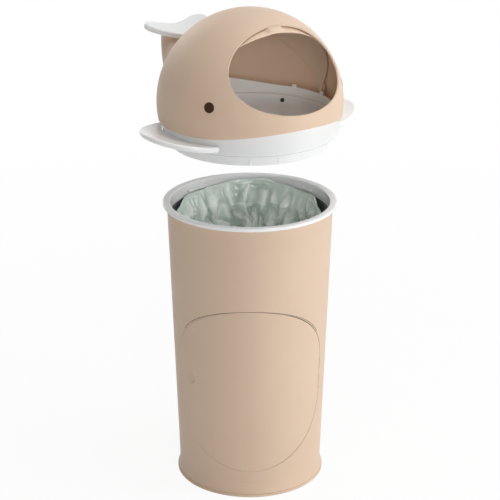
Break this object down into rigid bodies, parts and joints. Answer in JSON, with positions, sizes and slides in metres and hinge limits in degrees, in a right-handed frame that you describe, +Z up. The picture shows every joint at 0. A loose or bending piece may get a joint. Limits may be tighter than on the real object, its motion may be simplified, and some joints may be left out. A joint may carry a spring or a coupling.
{
  "type": "diaper pail",
  "caption": "Tapered round pail with a hinged front door and a hung film bag, under a lift-off whale-shaped lid with a swinging visor over its mouth.",
  "frame": {"origin": "centre of the pail's underside, on the floor", "axes": "+Z up, -Y towards the front door, +X to the door's hinge side"},
  "size_m": [0.3559, 0.3748, 0.8115],
  "materials": {
    "beige_plastic": "satin",
    "white_plastic": "semi-gloss",
    "dark_plastic": "matte",
    "bag_film": "thin soft film",
    "eye_plastic": "satin",
    "steel": "zinc plated",
    "seal_rubber": "matte"
  },
  "bodies": {
    "pail": {"pail_shell": "beige_plastic", "base_plate": "beige_plastic", "door_keeper": "beige_plastic", "rim_ring": "white_plastic", "bag_hoop": "dark_plastic", "waste_bag": "bag_film", "base_screws": "steel", "hinge_pins": "steel"},
    "door": {"access_door": "beige_plastic", "door_catch": "beige_plastic"},
    "lid": {"lid_collar": "white_plastic", "lid_bowl": "white_plastic", "bowl_screws": "steel", "lid_gasket": "seal_rubber", "fin_left": "white_plastic", "fin_right": "white_plastic", "fin_screws": "steel", "dome_shell": "beige_plastic", "tail_stalk": "beige_plastic", "tail_fluke": "white_plastic", "tail_screws": "steel", "eye_left": "eye_plastic", "eye_right": "eye_plastic", "visor_pins": "beige_plastic"},
    "visor": {"visor": "beige_plastic"}
  },
  "joints": [
    {"name": "lid_lift", "type": "slide", "parent": "pail", "child": "lid", "axis": [0, 0, 1], "range_m": [-0.118, 0]},
    {"name": "visor_swing", "type": "hinge", "parent": "lid", "child": "visor", "pos_m": [0, 0, 0.6595], "axis": [0.8192, 0.5736, 0], "range_deg": [0, 56]},
    {"name": "door_swing", "type": "hinge", "parent": "pail", "child": "door", "pos_m": [0.11503, -0.05242, 0.17], "axis": [0.0312, -0.0142, 0.9994], "range_deg": [0, 95]}
  ]
}
